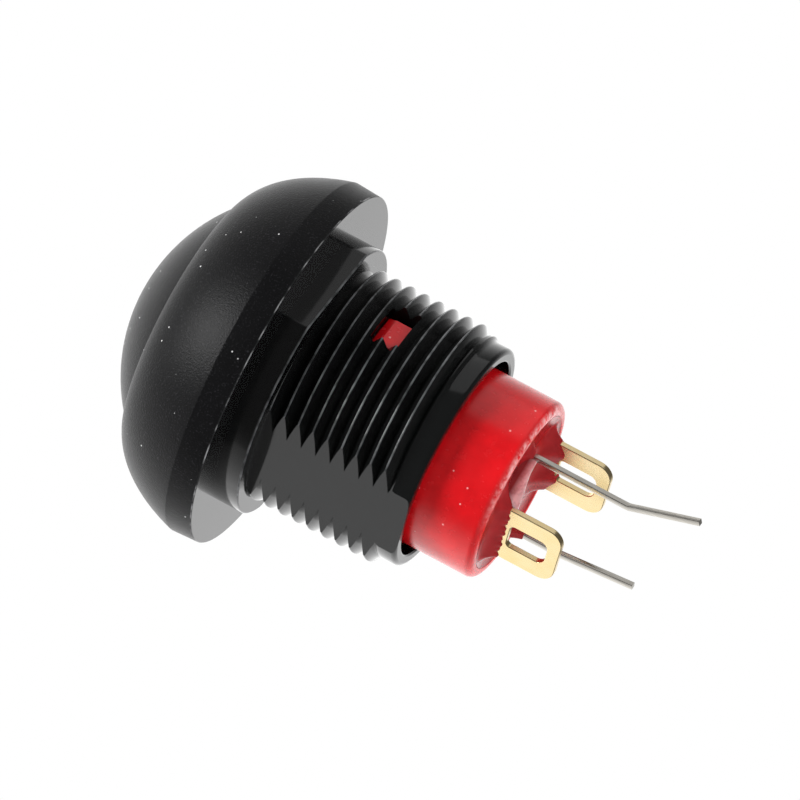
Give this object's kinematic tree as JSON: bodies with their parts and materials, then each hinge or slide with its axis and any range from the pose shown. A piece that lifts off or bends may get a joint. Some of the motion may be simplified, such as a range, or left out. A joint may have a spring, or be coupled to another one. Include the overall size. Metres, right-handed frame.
{
  "type": "illuminated push button switch",
  "caption": "Round panel push button with a domed black bezel, threaded bush, sealed red base, solder terminals and wire leads for its lamp.",
  "frame": {"origin": "on the axis of the bush, at the flat back face of the bezel, which seats on the front of the panel", "axes": "+Z out of the panel towards the button, the thread flats and switch terminals face along Y, the latch windows and lamp leads along X"},
  "size_m": [0.024, 0.024, 0.0376],
  "materials": {
    "black_nylon": "fine matte moulding, glossier on the bush",
    "clear_polycarbonate": "clear moulded",
    "white_acetal": "plain moulded",
    "spring_steel": "bright drawn steel",
    "seal_rubber": "plain moulded rubber",
    "contact_brass": "bright stamped sheet",
    "contact_silver": "bright coined face",
    "red_polyester": "glossy moulded",
    "gold_plated_brass": "bright plated stamping",
    "lamp_epoxy": "clear cast epoxy",
    "tinned_wire": "tinned wire",
    "red_resin": "hardened potting resin"
  },
  "bodies": {
    "housing": {"bush_housing": "black_nylon", "return_spring": "spring_steel", "stem_seal": "seal_rubber", "seal_retainer": "spring_steel", "fixed_contact_front": "contact_silver", "fixed_contact_rear": "contact_silver", "base": "red_polyester", "terminal_front": "gold_plated_brass", "terminal_rear": "gold_plated_brass", "led_lamp": "lamp_epoxy", "led_lead_right": "tinned_wire", "led_lead_left": "tinned_wire", "resin_seal": "red_resin"},
    "button": {"button_cap": "black_nylon", "light_window": "clear_polycarbonate", "plunger": "white_acetal", "contact_spring": "spring_steel", "contact_bridge": "contact_brass", "retaining_clip": "spring_steel", "moving_contact_front": "contact_silver", "moving_contact_rear": "contact_silver"}
  },
  "joints": [
    {"name": "button_press", "type": "slide", "parent": "housing", "child": "button", "axis": [0, 0, -1], "range_m": [0, 0.002], "stiffness_N_per_m": 1500, "springref_m": -0.001, "deforming": ["return_spring"]}
  ]
}
